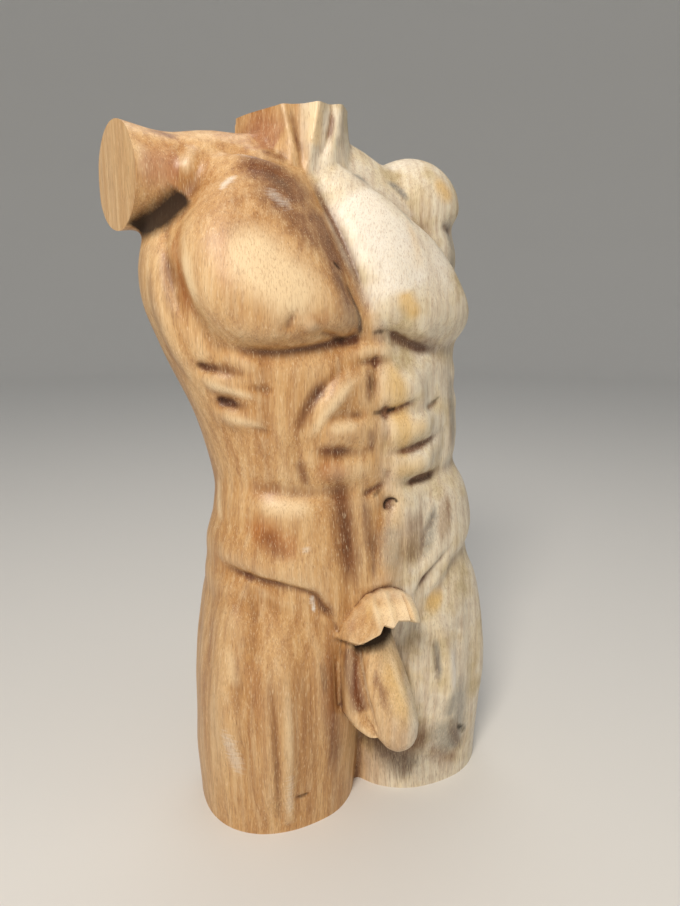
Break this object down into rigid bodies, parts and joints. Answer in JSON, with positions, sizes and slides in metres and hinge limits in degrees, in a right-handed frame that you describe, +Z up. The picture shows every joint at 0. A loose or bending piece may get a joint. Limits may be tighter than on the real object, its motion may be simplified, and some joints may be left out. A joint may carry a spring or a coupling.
{
  "type": "male torso sculpture",
  "caption": "Carved wooden male torso cut flat at the neck, arms and thighs, standing on its thighs.",
  "frame": {"origin": "bottom centre of the bounding box, on the surface that the thighs stand on", "axes": "+Z up, -Y the way the chest faces, +X to the figure's left"},
  "size_m": [0.274, 0.1736, 0.4999],
  "materials": {
    "wood": "satin"
  },
  "bodies": {
    "root": {"torso": "wood"}
  },
  "joints": []
}
